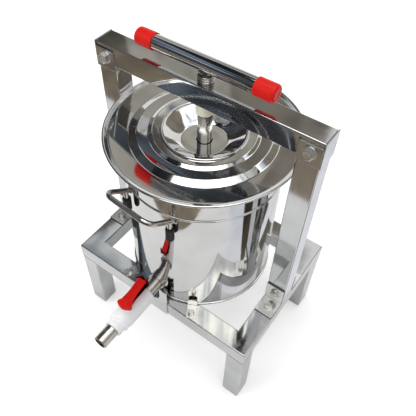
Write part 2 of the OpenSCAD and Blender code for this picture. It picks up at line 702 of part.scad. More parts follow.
// Two seat rings, dished to the ball
module valve_seats() color("#f4f4f2") for (s = [-1, 1])
    translate([0, pivot_y, outlet_z]) rotate([s*90, 0, 0]) difference() {
        translate([0, 0, ball_r - 6]) cylinder(h = 6, r = ball_r + 0.4 - fit_gap);
        sphere(r = ball_r + fit_gap);
        cylinder(h = ball_d, r = ball_bore/2);
    }
module valve_stem() color(brass) translate([0, pivot_y, outlet_z]) rotate([0, 0, lever_turn]) {
    translate([0, 0, ball_r + 0.5]) cylinder(h = lever_z + lever_t*0.7 - outlet_z - ball_r - 0.5, r = stem_r);
    translate([0, 0, ball_r - 1.4]) cube([3, 2*stem_r - 1.5, 5], center = true);
}
// The lever lies over the pivot with its flared head towards the outlet and its grip end back
flare_r = 5;
lever_edge = 2;
function arc(cx, cy, r, a0, a1) = [for (i = [0:6]) let (a = a0 + (a1 - a0)*i/6) [cx + r*cos(a), cy + r*sin(a)]];
function lever_half() = concat([[0, -flare_w + 1]],
    arc(flare_w - flare_r, -flare_w*0.35, flare_r, -65, 20),
    [[lever_w/2, flare_w*0.9]],
    arc(lever_w/2 - lever_edge, lever_l - lever_edge, lever_edge, 0, 90));
module lever_outline() polygon(concat(lever_half(),
    [for (i = [len(lever_half()) - 1:-1:1]) [-lever_half()[i][0], lever_half()[i][1]]]));
module valve_lever() color(red) translate([0, pivot_y, lever_z]) rotate([0, 0, lever_turn]) difference() {
    linear_extrude(lever_t) lever_outline();
    translate([0, 0, -eps]) cylinder(h = lever_t*0.7 + eps, r = stem_r + fit_gap);
    translate([0, 0, -eps]) cylinder(h = lever_t + 2*eps, r = 2 + fit_gap);
}
module lever_screw() color(zinc) translate([0, pivot_y, lever_z + lever_t]) {
    cylinder(h = 2.4, r = 4);
    translate([0, 0, -lever_t*0.3]) cylinder(h = lever_t*0.3 + eps, r = 2);
}
spout_end = valve_end - spout_l;
module outlet_tube() color(steel) along_outlet() {
    tube_along(valve_end + socket_l, valve_end - thread_end, thread_r, bore_r);
    tube_along(valve_end - thread_end, spout_end, pipe_r, bore_r);
}

base_rail_front();
base_rail_rear();
base_rail_left();
base_rail_right();
leg_front_left();
leg_front_right();
leg_rear_left();
leg_rear_right();
upright_left();
upright_right();
beam();
beam_socket_left();
beam_socket_right();
socket_bolts();
socket_nuts();
foot_brackets();
foot_bolts();
foot_nuts();
barrel_clips();
clip_bolts();
saddle_plate();
spindle_nut();
guide_bush();
guide_tube();
spindle();
handle_bar();
handle_cap_left();
handle_cap_right();
press_plate();
swivel_cup();
thrust_disc();
swivel_ring();
swivel_screws();
barrel();
strainer_basket();
lid();
grip_front();
grip_rear();
grip_sleeves();
outlet_pipe();
pipe_coupling();
pipe_nut();
valve_body();
valve_ball();
valve_seats();
valve_stem();
valve_lever();
lever_screw();
outlet_tube();
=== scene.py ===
import math
import bmesh
import bpy
from mathutils import Matrix, Vector


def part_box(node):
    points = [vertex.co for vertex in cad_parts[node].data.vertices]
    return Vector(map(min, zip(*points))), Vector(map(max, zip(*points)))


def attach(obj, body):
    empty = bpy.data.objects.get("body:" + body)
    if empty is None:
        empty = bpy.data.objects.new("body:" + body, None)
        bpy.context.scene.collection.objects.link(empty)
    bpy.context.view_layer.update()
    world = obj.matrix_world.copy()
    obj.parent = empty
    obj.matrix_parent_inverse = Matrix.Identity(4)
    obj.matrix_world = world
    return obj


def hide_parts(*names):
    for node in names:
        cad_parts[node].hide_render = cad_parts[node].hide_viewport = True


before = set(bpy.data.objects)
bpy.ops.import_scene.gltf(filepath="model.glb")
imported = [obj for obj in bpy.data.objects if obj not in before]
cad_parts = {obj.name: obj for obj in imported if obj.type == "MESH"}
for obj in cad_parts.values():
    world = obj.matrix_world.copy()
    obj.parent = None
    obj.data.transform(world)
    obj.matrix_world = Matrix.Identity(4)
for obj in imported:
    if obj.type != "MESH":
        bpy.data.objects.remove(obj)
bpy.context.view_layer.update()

# Honey press: square tube frame, barrel with lid and grips, screw with handle, outlet with ball valve.
# Lengths are in metres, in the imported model's frame. They repeat the sizes of the part's source, apart from
# the lid's rings, grips, sleeves, saddle plate and outlet stub, which are drawn closer to the real one here.
MM = 0.001
scene = bpy.context.scene
scene.view_settings.view_transform = "Standard"

# Sizes that several pieces share
TUBE = 38*MM
BASE_W, BASE_D = 418*MM, 308*MM
RAIL_TOP = 205*MM
LEG_H = RAIL_TOP - TUBE
BEAM_TOP = 632*MM
BEAM_Z = BEAM_TOP - TUBE
INNER_X = BASE_W/2 - TUBE
SIDE_X = BASE_W/2 - TUBE/2
SIDES = (-SIDE_X, SIDE_X)
EAR_T = 2*MM
BRACKET_T = 3*MM
CLIP_T = 2*MM
CLIP_R = 143*MM
CLIP_TURNS = (61, 119, -61, -119)
BARREL_R = 140*MM
RIM_Z = 530*MM
OUTLET_Z = 254*MM
VALVE_Y = -179*MM
PIVOT_Y = -229.22*MM
BAR_Z, BAR_R = 660.5*MM, 12.5*MM
SCREW_R, PITCH = 10*MM, 5*MM
GRIP_TURN, GRIP_W, WIRE_R = -4.5, 98.6*MM, 4.5*MM
ROOT_R, ROOT_Z = 131.03*MM, 458.5*MM
STUB_X = ROOT_R + 11*MM


# Modelling


def alone():
    """Leaves edit mode and deselects all, so that the next operator acts on what is made next."""
    if bpy.context.object and bpy.context.object.mode != "OBJECT":
        bpy.ops.object.mode_set(mode="OBJECT")
    bpy.ops.object.select_all(action="DESELECT")


def take(piece):
    """Makes the piece the only selected one and the active one."""
    alone()
    bpy.context.view_layer.objects.active = piece
    piece.select_set(True)


def settle(piece):
    """Puts the piece's place into its mesh and leaves the object at the origin."""
    take(piece)
    bpy.ops.object.transform_apply(location=True, rotation=True, scale=True)
    return piece


def modify(piece, kind, **settings):
    """Adds a modifier and applies it."""
    take(piece)
    modifier = piece.modifiers.new(kind.lower(), kind)
    for key, value in settings.items():
        setattr(modifier, key, value)
    bpy.ops.object.modifier_apply(modifier=modifier.name)
    return piece


def break_edges(piece, width, segments=3, angle=35):
    """Rounds every edge that is sharper than the angle."""
    return modify(piece, "BEVEL", width=width, segments=segments, limit_method="ANGLE",
                  angle_limit=math.radians(angle), use_clamp_overlap=True)


def pick(piece, kind, test):
    """Enters edit mode and selects the piece's edges or faces that pass the test."""
    take(piece)
    bpy.ops.object.mode_set(mode="EDIT")
    bpy.ops.mesh.select_mode(type=kind)
    bpy.ops.mesh.select_all(action="DESELECT")
    mesh = bmesh.from_edit_mesh(piece.data)
    for part in (mesh.edges if kind == "EDGE" else mesh.faces):
        if test(part):
            part.select_set(True)
    bmesh.update_edit_mesh(piece.data)


def draw(points):
    """Draws a line through the points, each extruded from the last, and leaves it selected in edit mode."""
    alone()
    bpy.ops.mesh.primitive_plane_add(size=MM, location=points[0])
    bpy.ops.object.mode_set(mode="EDIT")
    bpy.ops.mesh.select_mode(type="VERT")
    bpy.ops.mesh.merge(type="CENTER")
    for last, point in zip(points, points[1:]):
        step = Vector(point) - Vector(last)
        bpy.ops.mesh.extrude_region_move(TRANSFORM_OT_translate={"value": step})
    bpy.ops.mesh.select_all(action="SELECT")


def turned(profile, steps=96, closed=True):
    """A turned piece round the Z axis: its half section, as (radius, height), is drawn and spun."""
    ring = profile + profile[:1] if closed else profile
    draw([(r, 0, z) for r, z in ring])
    bpy.ops.mesh.remove_doubles(threshold=0.001*MM)
    bpy.ops.mesh.spin(steps=steps, angle=2*math.pi, center=(0, 0, 0), axis=(0, 0, 1))
    bpy.ops.mesh.select_all(action="SELECT")
    bpy.ops.mesh.remove_doubles(threshold=0.001*MM)
    bpy.ops.mesh.normals_make_consistent(inside=False)
    return settle(bpy.context.object)


def cut_out(points, depth):
    """A plate: its outline is drawn, filled, and extruded by the vector depth."""
    draw(points)
    bpy.ops.mesh.edge_face_add()
    bpy.ops.mesh.extrude_region_move(TRANSFORM_OT_translate={"value": depth})
    bpy.ops.mesh.select_all(action="SELECT")
    bpy.ops.mesh.normals_make_consistent(inside=False)
    return settle(bpy.context.object)


def block(low, high):
    """A cube drawn to its two corners."""
    alone()
    low, high = Vector(low), Vector(high)
    bpy.ops.mesh.primitive_cube_add(size=1, location=(low + high)/2)
    bpy.context.object.scale = high - low
    return settle(bpy.context.object)


def place(piece, matrix):
    """Moves the piece's mesh by the matrix."""
    piece.data.transform(matrix)
    piece.data.update()
    return piece


def joined(pieces):
    """One piece out of several."""
    alone()
    for piece in pieces:
        piece.select_set(True)
    bpy.context.view_layer.objects.active = pieces[0]
    if len(pieces) > 1:
        bpy.ops.object.join()
    return pieces[0]


def repeated(first, places):
    """One piece out of copies of the first, each with its own mesh at its own place."""
    copies = []
    for matrix in places:
        other = first.copy()
        other.data = first.data.copy()
        scene.collection.objects.link(other)
        copies.append(place(other, matrix))
    bpy.data.objects.remove(first)
    return joined(copies)


def arc(across, up, radius, start, stop, count):
    """Points on an arc about a centre, between two angles in degrees."""
    turns = [math.radians(start + (stop - start)*i/count) for i in range(count + 1)]
    return [(across + radius*math.cos(turn), up + radius*math.sin(turn)) for turn in turns]


def shift(x, y, z):
    return Matrix.Translation((x, y, z))


def spun(degrees, axis="Z"):
    return Matrix.Rotation(math.radians(degrees), 4, axis)


# Turns a piece that was made along Z to point forward, along -Y
FACING = spun(90, "X")


def deliver(piece, name, finish, body, stands_for, smooth=50):
    """Names the piece, gives it its finish, puts it on the body it rides on, and hides the nodes it stands
    for.
    """
    take(piece)
    bpy.ops.object.shade_smooth_by_angle(angle=math.radians(smooth))
    modify(piece, "WEIGHTED_NORMAL", keep_sharp=True)
    piece.name = piece.data.name = name
    piece.data.materials.clear()
    piece.data.materials.append(finish)
    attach(piece, body)
    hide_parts(*stands_for)
    return piece


def cut_faces_with_painted_shade(piece, test):
    """Gives the sheared or cut faces that pass the test their duller finish, darkened as painted shade."""
    piece.data.materials.append(cut_edge_with_painted_shade)
    pick(piece, "FACE", test)
    piece.active_material_index = 1
    bpy.ops.object.material_slot_assign()
    bpy.ops.object.mode_set(mode="OBJECT")


# Finishes


def linear(code):
    """A colour written as sRGB hex, as Blender's linear values."""
    parts = [int(code[i:i + 2], 16)/255 for i in (1, 3, 5)]
    return [c/12.92 if c <= 0.04045 else ((c + 0.055)/1.055)**2.4 for c in parts] + [1.0]


def add(material, kind, inputs=(), **settings):
    """Adds a node to the material, with its settings, and sets or links its inputs."""
    node = material.node_tree.nodes.new(kind)
    for key, value in settings.items():
        setattr(node, key, value)
    for key, value in dict(inputs).items():
        if isinstance(value, bpy.types.NodeSocket):
            link(material, value, node.inputs[key])
        else:
            node.inputs[key].default_value = value
    return node


def link(material, output, socket):
    material.node_tree.links.new(output, socket)


def finish_of(name, **sockets):
    """A material with its surface shader's own sockets set, as (material, shader, object coordinates)."""
    material = bpy.data.materials.new(name)
    material.use_nodes = True
    shader = material.node_tree.nodes["Principled BSDF"]
    for key, value in sockets.items():
        shader.inputs[key.replace("_", " ")].default_value = value
    coordinates = add(material, "ShaderNodeTexCoord")
    return material, shader, coordinates.outputs["Object"]


def per(length):
    """A pattern's scale, in cells per metre, from the length of one cell in millimetres."""
    return 1000/length


HAIR_DEPTH = 0.0006*MM


def steel(name, dark, light, grain, rough, wave, dent):
    """Stainless steel 304, ground along the grain and then polished. The grinding leaves hairlines with the
    grain's length along X, Y and Z. Polishing leaves broad waves that bend the reflections, and patches in
    two shades that are more or less bright. The wave is the waves' length and the dent their depth."""
    material, shader, where = finish_of(name, Metallic=1.0)
    cells = [per(length) for length in grain]
    stretched = add(material, "ShaderNodeMapping", {"Vector": where, "Scale": cells})
    hairs = add(material, "ShaderNodeTexNoise", {"Vector": stretched.outputs[0], "Scale": 1.0, "Detail": 3.0,
                                                 "Roughness": 0.6})
    patches = add(material, "ShaderNodeTexNoise", {"Vector": where, "Scale": per(45.45), "Detail": 2.0})
    both = add(material, "ShaderNodeMath", {0: hairs.outputs["Fac"], 1: patches.outputs["Fac"]},
               operation="MULTIPLY")
    gloss = add(material, "ShaderNodeMapRange", {"Value": both.outputs[0], "From Min": 0.12,
                                                 "From Max": 0.42, "To Min": rough[0], "To Max": rough[1]})
    link(material, gloss.outputs[0], shader.inputs["Roughness"])
    tone = add(material, "ShaderNodeMapRange", {"Value": patches.outputs["Fac"], "From Min": 0.3,
                                                "From Max": 0.7})
    colour = add(material, "ShaderNodeMix", {"Factor": tone.outputs[0], "A": linear(dark),
                                             "B": linear(light)}, data_type="RGBA")
    link(material, colour.outputs["Result"], shader.inputs["Base Color"])
    swell = add(material, "ShaderNodeTexNoise", {"Vector": where, "Scale": per(wave), "Detail": 1.0})
    waves = add(material, "ShaderNodeBump", {"Height": swell.outputs["Fac"], "Distance": dent})
    lines = add(material, "ShaderNodeBump", {"Height": hairs.outputs["Fac"], "Distance": HAIR_DEPTH,
                                             "Normal": waves.outputs[0]})
    link(material, lines.outputs[0], shader.inputs["Normal"])
    return material


def moulded(name, base, shade, rough, grit, relief, **sockets):
    """A moulded plastic or rubber: faint shades where the melt met, and a fine skin texture of this grit."""
    material, shader, where = finish_of(name, **sockets)
    melt = add(material, "ShaderNodeTexNoise", {"Vector": where, "Scale": per(22.2), "Detail": 2.0})
    colour = add(material, "ShaderNodeMix", {"Factor": melt.outputs["Fac"], "A": linear(base),
                                             "B": linear(shade)}, data_type="RGBA")
    link(material, colour.outputs["Result"], shader.inputs["Base Color"])
    skin = add(material, "ShaderNodeTexNoise", {"Vector": where, "Scale": per(grit), "Detail": 2.0})
    gloss = add(material, "ShaderNodeMapRange", {"Value": skin.outputs["Fac"], "From Min": 0.3,
                                                 "From Max": 0.7, "To Min": rough[0], "To Max": rough[1]})
    link(material, gloss.outputs[0], shader.inputs["Roughness"])
    bumps = add(material, "ShaderNodeBump", {"Height": skin.outputs["Fac"], "Distance": relief})
    link(material, bumps.outputs[0], shader.inputs["Normal"])
    return material


# Real hairlines are about 0.05 mm wide. These are drawn coarse, 0.67 mm wide and 62.5 mm long, to show
LONG, FINE = 62.5, 0.6667

# Square tube, belt ground and buffed: clear reflections that bend, with streaks along the tube
TUBE_LOOK = ((0.03, 0.13), 62.5, 0.14*MM)
tube_x = steel("buffed_steel_tube_x", "#c3c4c4", "#d0d1d1", (LONG, FINE, FINE), *TUBE_LOOK)
tube_y = steel("buffed_steel_tube_y", "#c3c4c4", "#d0d1d1", (FINE, LONG, FINE), *TUBE_LOOK)
tube_z = steel("buffed_steel_tube_z", "#c3c4c4", "#d0d1d1", (FINE, FINE, LONG), *TUBE_LOOK)
# Cold rolled mirror sheet: the clearest reflections, and hardly a wave
sheet_z = steel("mirror_steel_sheet", "#cccccb", "#d7d7d6", (FINE, FINE, LONG), (0.03, 0.10), 71.4, 0.05*MM)
# Drawn wire, tumbled bright: a little darker and warmer, with fine grit in place of lines
wire = steel("buffed_steel_wire", "#b9b6b0", "#c6c3bd", (3.333,)*3, (0.07, 0.18), 16.67, 0.02*MM)
# Cold headed bolts: pale and satin
bolts = steel("cold_headed_steel", "#d2d1cd", "#e2e0dc", (2.0,)*3, (0.20, 0.38), 5.0, 0.02*MM)
# Strip with a satin roll finish: pale, with soft highlights
strip = steel("satin_steel_strip", "#dededc", "#e8e8e6", (3.333,)*3, (0.16, 0.30), 16.67, 0.02*MM)
# The sheared edges of plate and strip: dull as cut steel is, and darkened as painted shade, dark outlines
# that stand for shadowed gaps
cut_edge_with_painted_shade = steel("cut_steel_edge_painted_shade", "#5d5b58", "#6e6b67", (2.0,)*3, (0.30, 0.45), 5.0, 0.02*MM)
# Turned on a lathe: fine rings across the axis that spread the highlights along it
turned_steel = steel("turned_steel", "#b2afa9", "#c2bfb9", (12.5, 12.5, 0.25), (0.14, 0.30), 12.5, 0.01*MM)
# Pipe turned in the same way, along Y, from duller stock
pipe_steel = steel("turned_pipe_steel", "#aeaba5", "#c4c1bb", (3.333, 0.25, 3.333), (0.14, 0.32), 12.5,
                   0.01*MM)

# Dipped PVC end caps and the moulded lever: a deep orange red with a soft gloss
red = moulded("red_pvc", "#d41205", "#c90d02", (0.32, 0.45), 1.111, 0.02*MM, IOR=1.5, Specular_IOR_Level=0.2)
# White PVC-U of the valve: satin, a touch blue
white = moulded("white_pvc_u", "#f2f3f4", "#e8eaec", (0.30, 0.42), 1.43, 0.02*MM, IOR=1.53)
# Nylon bush: cream, waxy
cream = moulded("cast_nylon", "#ece6d4", "#e2dbc6", (0.38, 0.50), 2.0, 0.03*MM, IOR=1.53)
# Rubber sleeves: black with a dusty bloom
black = moulded("black_rubber", "#17171a", "#242428", (0.45, 0.65), 1.667, 0.05*MM, IOR=1.52)
# PTFE seats inside the valve: white, waxy
ptfe = moulded("ptfe", "#f2f2ef", "#e8e8e4", (0.40, 0.50), 2.0, 0.02*MM, IOR=1.35)

# The finish of the CAD nodes that stay as they are
for finish, nodes in (
        (bolts, ("socket_nuts", "foot_nuts", "swivel_screws")),
        (turned_steel, ("guide_tube", "thrust_disc", "swivel_cup", "swivel_ring", "press_plate",
                        "valve_ball", "valve_stem")),
        (sheet_z, ("strainer_basket",)), (tube_x, ("handle_bar",)), (pipe_steel, ("outlet_pipe",)),
        (cream, ("guide_bush",)), (ptfe, ("valve_seats",))):
    for node in nodes:
        for place_of_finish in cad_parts[node].material_slots:
            place_of_finish.material = finish


# Frame


def square_tube(node, finish, mitred=False):
    """A length of square tube on its node's box, its long edges rounded as those of drawn tube are."""
    low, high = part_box(node)
    along = max(range(3), key=lambda axis: high[axis] - low[axis])
    piece = block(low, high)
    pick(piece, "EDGE", lambda e: abs((e.verts[1].co - e.verts[0].co)[along]) > 0.9*e.calc_length())
    bpy.ops.mesh.bevel(offset=2.2*MM, segments=4, affect="EDGES")
    if mitred:
        across = 1 - along
        outside = high[across] if low[across] + high[across] > 0 else low[across]
        for end, stop in ((-1, low[along]), (1, high[along])):
            corner, away = Vector((0, 0, low.z)), Vector((0, 0, 0))
            corner[along], corner[across] = stop, outside
            away[along], away[across] = end, -math.copysign(1, outside)
            bpy.ops.mesh.select_all(action="SELECT")
            bpy.ops.mesh.bisect(plane_co=corner, plane_no=away, use_fill=True, clear_outer=True)
    bpy.ops.mesh.select_all(action="SELECT")
    bpy.ops.mesh.normals_make_consistent(inside=False)
    bpy.ops.object.mode_set(mode="OBJECT")
    deliver(piece, node + "_drawn", finish, "frame", (node,), smooth=30)


def beam():
    """The beam starts as its skirt over the uprights, and the length between them is extruded down."""
    skirt_z = 625*MM
    piece = block((-BASE_W/2, -TUBE/2, skirt_z), (BASE_W/2, TUBE/2, BEAM_TOP))
    bpy.ops.object.mode_set(mode="EDIT")
    for x in (-INNER_X, INNER_X):
        bpy.ops.mesh.select_all(action="SELECT")
        bpy.ops.mesh.bisect(plane_co=(x, 0, 0), plane_no=(1, 0, 0))
    pick(piece, "FACE", lambda f: f.normal.z < -0.9 and abs(f.calc_center_median().x) < INNER_X/2)
    bpy.ops.mesh.extrude_region_move(TRANSFORM_OT_translate={"value": (0, 0, BEAM_Z - skirt_z)})
    bpy.ops.object.mode_set(mode="OBJECT")
    break_edges(piece, 1.6*MM, 4, 60)
    deliver(piece, "beam_drawn", tube_x, "frame", ("beam",), smooth=30)


def socket(side, name):
    """A folded plate: an ear on the upright's front and rear, and the plate that closes the beam's end."""
    ear_z, ear_top = 585*MM, 623*MM
    end, past = side*BASE_W/2, side*(BASE_W/2 + EAR_T)
    half = TUBE/2 + EAR_T
    plates = [block((min(end, past), -half, ear_z), (max(end, past), half, BEAM_TOP))]
    inner, outer = sorted((side*INNER_X, end))
    for y in (-half, TUBE/2):
        plates.append(block((inner, y, ear_z), (outer, y + EAR_T, ear_top)))
    for plate in plates:
        break_edges(plate, 0.8*MM, 3)
    folded = deliver(joined(plates), "beam_socket_" + name + "_folded", tube_z, "frame",
                     ("beam_socket_" + name,), smooth=35)
    # The ear plates' cut edges are darkened as painted shade
    cut_faces_with_painted_shade(folded, lambda f: abs(f.calc_center_median().y) > TUBE/2 + 0.2*MM and abs(f.normal.y) < 0.5
              and abs(f.calc_center_median().x) < BASE_W/2 - 0.2*MM)


def folded_angle(foot, rise, thick, bend, width):
    """An angle folded from strip, with its foot along X, its fold at the origin and its width across Y."""
    outer = [(x, 0, z) for x, z in arc(bend, bend, bend, 270, 180, 5)]
    inner = [(x, 0, z) for x, z in arc(bend, bend, bend - thick, 180, 270, 5)]
    line = [(foot, 0, 0)] + outer + [(0, 0, rise), (thick, 0, rise)] + inner + [(foot, 0, thick)]
    return place(cut_out(line, (0, width, 0)), shift(0, -width/2, 0))


def foot_brackets():
    """Angles that hold the uprights on the side rails, front and rear."""
    rise = 47*MM
    first = break_edges(folded_angle(41*MM, rise, BRACKET_T, 4*MM, TUBE), 0.5*MM, 2, 60)
    places = [shift(x, y*TUBE/2, RAIL_TOP) @ spun(y*90) for x in SIDES for y in (-1, 1)]
    angles = repeated(first, places)
    deliver(angles, "foot_brackets_folded", strip, "frame", ("foot_brackets",), smooth=35)
    # The angles' cut edges are darkened as painted shade
    cut_faces_with_painted_shade(angles, lambda f: abs(f.normal.x) > 0.3
              or (abs(f.normal.y) > 0.3 and f.calc_center_median().z < RAIL_TOP + 0.96*BRACKET_T)
              or (f.normal.z > 0.3 and f.calc_center_median().z > RAIL_TOP + 0.85*rise))


def barrel_clips():
    """Small angles on the rails that stand against the barrel's foot, their upper ends rounded."""
    width, rise = 19*MM, 22*MM
    first = folded_angle(29*MM, rise, CLIP_T, 3*MM, width)
    pick(first, "EDGE", lambda e: min(v.co.z for v in e.verts) > rise - 0.1*MM
         and abs(e.verts[0].co.x - e.verts[1].co.x) > 0.5*CLIP_T)
    bpy.ops.mesh.bevel(offset=width*0.45, segments=8, affect="EDGES")
    bpy.ops.object.mode_set(mode="OBJECT")
    break_edges(first, 0.3*MM, 2, 60)
    clips = repeated(first, [spun(turn) @ shift(CLIP_R, 0, RAIL_TOP) for turn in CLIP_TURNS])
    deliver(clips, "barrel_clips_folded", strip, "frame", ("barrel_clips",), smooth=35)
    # The clips' cut edges and upper ends are darkened as painted shade
    cut_faces_with_painted_shade(clips, lambda f: abs(f.normal.cross(f.calc_center_median().normalized()).z) > 0.4
              or (f.normal.z > 0.3 and f.calc_center_median().z > RAIL_TOP + 12*MM))


def saddle_plate():
    """The plate in front of the rail: its notch is open above and at the left, and leaves one horn."""
    half, thick, horn_z = 29*MM, 3*MM, 248.5*MM
    notch_r, notch_x, notch_z = 25*MM, -12*MM, 227*MM
    outline = [(-half, LEG_H), (half, LEG_H), (half, horn_z), (notch_x + notch_r, horn_z)]
    outline += arc(notch_x, notch_z, notch_r, 0, -132.8, 24)
    plate = cut_out([(x, -BASE_D/2 - thick, z) for x, z in outline], (0, thick, 0))
    break_edges(plate, 0.4*MM, 2, 40)
    deliver(plate, "saddle_plate_cut", sheet_z, "frame", ("saddle_plate",), smooth=35)


for name in ("front", "rear"):
    square_tube("base_rail_" + name, tube_x, mitred=True)
for name in ("left", "right"):
    square_tube("base_rail_" + name, tube_y, mitred=True)
    square_tube("upright_" + name, tube_z)
for name in ("front_left", "front_right", "rear_left", "rear_right"):
    square_tube("leg_" + name, tube_z)
beam()
socket(-1, "left")
socket(1, "right")
foot_brackets()
barrel_clips()
saddle_plate()


# Bolts

WASHER_T = 1.6*MM


def hex_bolt(size, grip):
    """A bolt with its washer, head up, the washer's underside at height 0 and the shank going down."""
    head, washer_r, rounding = 0.65*size, size*1.15, 0.4*MM
    rounded = arc(washer_r - rounding, WASHER_T - rounding, rounding, 0, 90, 3)
    washer = turned([(size/2, 0), (washer_r, 0)] + rounded + [(size/2, WASHER_T)], 48)
    alone()
    bpy.ops.mesh.primitive_cylinder_add(vertices=6, radius=size*0.98, depth=head,
                                        location=(0, 0, WASHER_T + head/2))
    pick(bpy.context.object, "FACE", lambda f: f.normal.z > 0.9)
    bpy.ops.mesh.inset(thickness=size*0.13, depth=size*0.05)
    bpy.ops.mesh.inset(thickness=size*0.10, depth=-size*0.03)
    crown = break_edges(settle(bpy.context.object), size*0.035, 2, 20)
    ridge, root, pitch = size/2, size*0.43, size*0.15
    turns = int(grip/pitch)
    profile = [(0, -grip), (root, -grip)]
    for i in range(turns):
        profile += [(ridge, -grip + (i + 0.5)*pitch), (root, -grip + (i + 1)*pitch)]
    shank = turned(profile + [(0, -grip + turns*pitch)], 32, closed=False)
    return joined([washer, crown, shank])


def bolt_set(node, size, grip, places):
    """Copies of one bolt, each at its place and turned as its spanner left it."""
    copies = repeated(hex_bolt(size, grip), places)
    deliver(copies, node + "_hex", bolts, "frame", (node,), smooth=30)


bolt_set("socket_bolts", 10*MM, 52*MM,
         [shift(x, -TUBE/2 - EAR_T, 608*MM) @ FACING @ spun(turn) for x, turn in zip(SIDES, (12, 40))])
on_rail = [shift(x, y*40.32*MM, RAIL_TOP + BRACKET_T) @ spun(x*900 + y*14) for x in SIDES for y in (-1, 1)]
on_upright = [shift(x, -TUBE/2 - BRACKET_T, 232.32*MM) @ FACING @ spun(25 + x*80) for x in SIDES]
bolt_set("foot_bolts", 8*MM, 54*MM, on_rail + on_upright)
bolt_set("clip_bolts", 6*MM, 10*MM,
         [spun(turn) @ shift(CLIP_R + 20*MM, 0, RAIL_TOP + CLIP_T) @ spun(turn*0.7) for turn in CLIP_TURNS])


# Vessel


def eased(corners, radius, count=4):
    """A line through the corners, each corner rounded as sheet is when it is spun over a former."""
    line = [corners[0]]
    for before, corner, after in zip(corners, corners[1:], corners[2:]):
        here = Vector(corner)
        back, on = Vector(before) - here, Vector(after) - here
        reach = min(radius, back.length*0.45, on.length*0.45)
        start, end = here + back.normalized()*reach, here + on.normalized()*reach
        steps = [i/count for i in range(count + 1)]
        line += [tuple(start.lerp(here, t).lerp(here.lerp(end, t), t)) for t in steps]
    return line + [corners[-1]]


def lid():
    """The spun lid, outwards from its middle: a flat floor, the dish's curved side, a bead, two steps, and
    the flange that lies on the barrel's rim and rises to a curled edge. Heights are above the rim."""
    sheet, edge_r, curl_r, curl_z = 1.2*MM, 169*MM, 2*MM, 6*MM
    hole_r, floor_r, dish_r, dish_depth = 13.9*MM, 38*MM, 69*MM, 21*MM
    crown = 6.7*MM
    floor_z = crown - dish_depth - 2.5*MM
    slope = math.tan(math.radians(6))

    def flange(r):
        return r, sheet + 0.1*MM + (r - BARREL_R)*slope

    line = [(hole_r, floor_z), (24*MM, floor_z)]
    line += [(floor_r + (dish_r - floor_r)*u/14, floor_z + dish_depth*(u/14)**1.2) for u in range(15)]
    line += arc(dish_r + 2.6*MM, crown - 1.9*MM, 2.0*MM, 160, 20, 7)
    steps = [(dish_r + 5.4*MM, crown - 2.3*MM), (dish_r + 18.1*MM, crown), (dish_r + 24.9*MM, crown - 3*MM),
             (dish_r + 43.9*MM, crown - 2.2*MM)]
    fold = flange(edge_r - 12*MM)
    edge = [flange(BARREL_R - 14*MM), fold, (fold[0] + 2.5*MM, fold[1]), (edge_r - curl_r, curl_z)]
    line += eased(steps + edge, 1.5*MM)
    under = [(r, z - sheet) for r, z in reversed(line)]
    disc = turned([(r, RIM_Z + z) for r, z in line + under], 144)
    curl = turned(arc(edge_r - curl_r, RIM_Z + curl_z - sheet/2, curl_r, 0, 330, 11), 144)
    deliver(joined([disc, curl]), "lid_spun", sheet_z, "lid", ("lid",))


def barrel():
    """The rolled wall with a bead and a rolled rim, and its floor, rolled to the wall's foot. Points close
    beside each bend keep the wall's shading straight."""
    wall, roll, bead_r, bead_z = 1.2*MM, 2.5*MM, 1.8*MM, 466*MM
    outside = [(BARREL_R, RAIL_TOP + 4.7*MM), (BARREL_R, RAIL_TOP + 6*MM), (BARREL_R, bead_z - 4*MM),
               (BARREL_R, bead_z - 2.4*MM)]
    outside += arc(BARREL_R, bead_z, bead_r, -75, 75, 8)
    outside += [(BARREL_R, bead_z + 2.4*MM), (BARREL_R, bead_z + 4*MM), (BARREL_R, RIM_Z - 6*MM),
                (BARREL_R, RIM_Z - 4.7*MM)]
    outside += arc(BARREL_R, RIM_Z - roll, roll, -60, 180, 14)
    inside = [(BARREL_R - wall, RIM_Z - 5*MM), (BARREL_R - wall, RAIL_TOP + 4*MM),
              (BARREL_R - 4*MM, RAIL_TOP + wall), (0, RAIL_TOP + wall), (0, RAIL_TOP),
              (BARREL_R - 2*MM, RAIL_TOP)]
    foot = arc(BARREL_R, RAIL_TOP + roll, roll, -120, 60, 12)
    shell = turned(outside + inside + foot, 160)
    deliver(shell, "barrel_rolled", sheet_z, "frame", ("barrel",))


def bent_wire(reach, bend, start):
    """A wire bent to a U in the XY plane: a ring is extruded up one leg, spun round each bend, and on."""
    half = GRIP_W/2
    alone()
    bpy.ops.mesh.primitive_circle_add(vertices=24, radius=WIRE_R, location=(-start, -half, 0),
                                      rotation=(0, math.pi/2, 0))
    bpy.ops.object.mode_set(mode="EDIT")
    bpy.ops.mesh.select_all(action="SELECT")
    bpy.ops.mesh.extrude_region_move(TRANSFORM_OT_translate={"value": (reach - bend + start, 0, 0)})
    bpy.ops.mesh.spin(steps=10, angle=math.pi/2, center=(reach - bend, bend - half, 0), axis=(0, 0, -1))
    bpy.ops.mesh.extrude_region_move(TRANSFORM_OT_translate={"value": (0, GRIP_W - 2*bend, 0)})
    bpy.ops.mesh.spin(steps=10, angle=math.pi/2, center=(reach - bend, half - bend, 0), axis=(0, 0, -1))
    bpy.ops.mesh.extrude_region_move(TRANSFORM_OT_translate={"value": (-reach + bend - start, 0, 0)})
    bpy.ops.mesh.select_all(action="SELECT")
    bpy.ops.mesh.remove_doubles(threshold=0.01*MM)
    bpy.ops.mesh.normals_make_consistent(inside=False)
    return settle(bpy.context.object)


